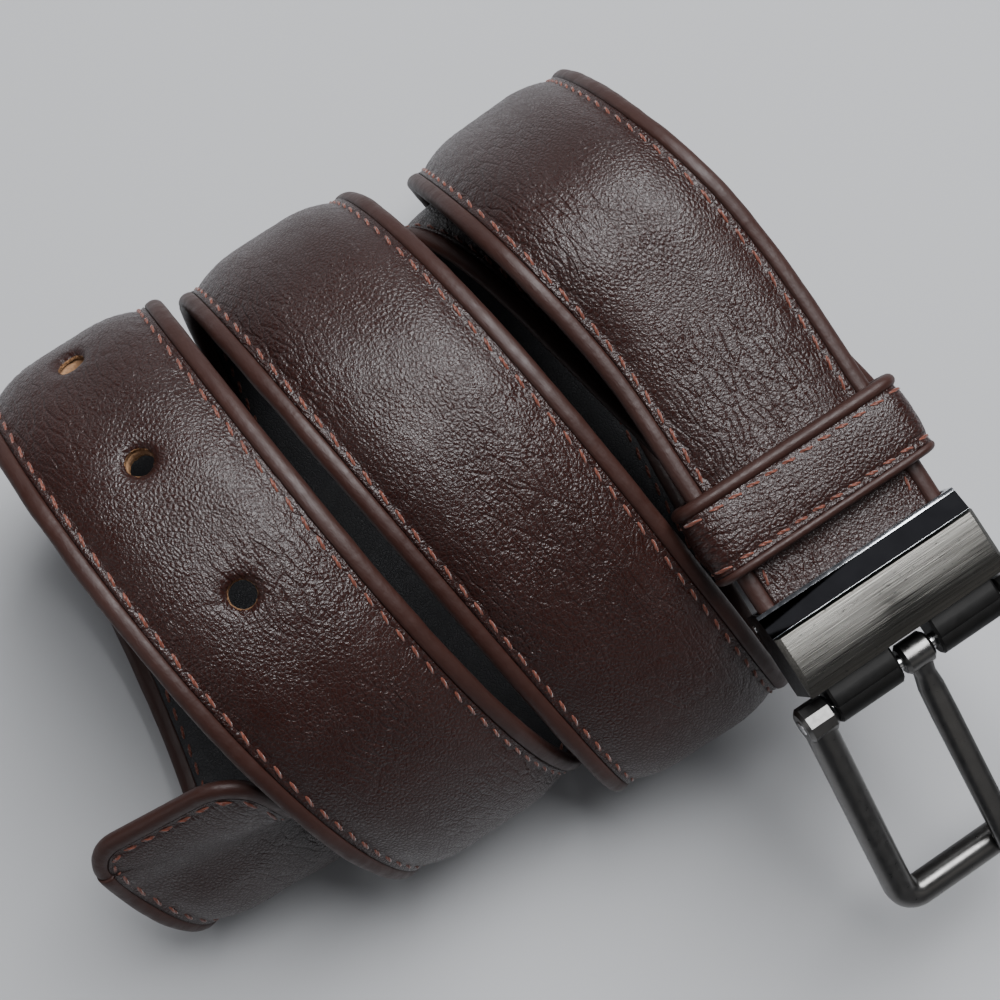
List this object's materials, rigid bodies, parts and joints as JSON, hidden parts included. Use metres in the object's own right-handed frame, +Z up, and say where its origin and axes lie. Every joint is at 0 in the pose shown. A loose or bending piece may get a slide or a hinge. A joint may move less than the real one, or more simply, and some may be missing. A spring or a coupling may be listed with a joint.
{
  "type": "leather belt",
  "caption": "Padded leather dress belt coiled on its side, with stitched rims, a keeper loop and a clamp-on pin buckle with a hinged frame and prong.",
  "frame": {"origin": "middle of the bottom of the bounding box, on the surface the belt lies on", "axes": "+Z up; +X along the coil's axis from the tip's side to the buckle's side; -Y to the front, where the buckle points"},
  "size_m": [0.1551, 0.1584, 0.0754],
  "materials": {
    "face_leather": "semi-gloss pebbled grain",
    "filler": "matte pressed fibre",
    "lining_leather": "matte grained",
    "rim_leather": "smooth satin edge paint",
    "thread": "waxed thread",
    "steel": "satin",
    "polished_metal": "polished gunmetal",
    "brushed_metal": "brushed across the strap",
    "dark_metal": "satin gunmetal"
  },
  "bodies": {
    "strap": {"strap_face": "face_leather", "strap_filler": "filler", "strap_lining": "lining_leather", "strap_rim": "rim_leather", "face_thread": "thread", "lining_thread": "thread", "clamp_case": "polished_metal", "clamp_face_plate": "brushed_metal", "hinge_block": "dark_metal", "clamp_jaw_pin": "steel", "pivot_bar": "steel"},
    "keeper": {"keeper_band": "face_leather", "keeper_lining": "lining_leather", "keeper_rims": "rim_leather", "keeper_thread": "thread", "keeper_staple": "steel"},
    "jaw": {"clamp_jaw": "steel"},
    "frame": {"buckle_frame": "dark_metal"},
    "prong": {"buckle_prong": "dark_metal"}
  },
  "joints": [
    {"name": "keeper_slide", "type": "slide", "parent": "strap", "child": "keeper", "axis": [0, 0.9848, 0.1736], "range_m": [-0.005, 0.006]},
    {"name": "jaw_hinge", "type": "hinge", "parent": "strap", "child": "jaw", "pos_m": [0.0484, -0.02612, 0.05315], "axis": [1, 0, 0], "range_deg": [0, 60]},
    {"name": "frame_hinge", "type": "hinge", "parent": "strap", "child": "frame", "pos_m": [0.0484, -0.04278, 0.0526], "axis": [1, 0, 0], "range_deg": [-40, 45]},
    {"name": "prong_hinge", "type": "hinge", "parent": "frame", "child": "prong", "pos_m": [0.0484, -0.04278, 0.0526], "axis": [1, 0, 0], "range_deg": [-85, 0]}
  ]
}
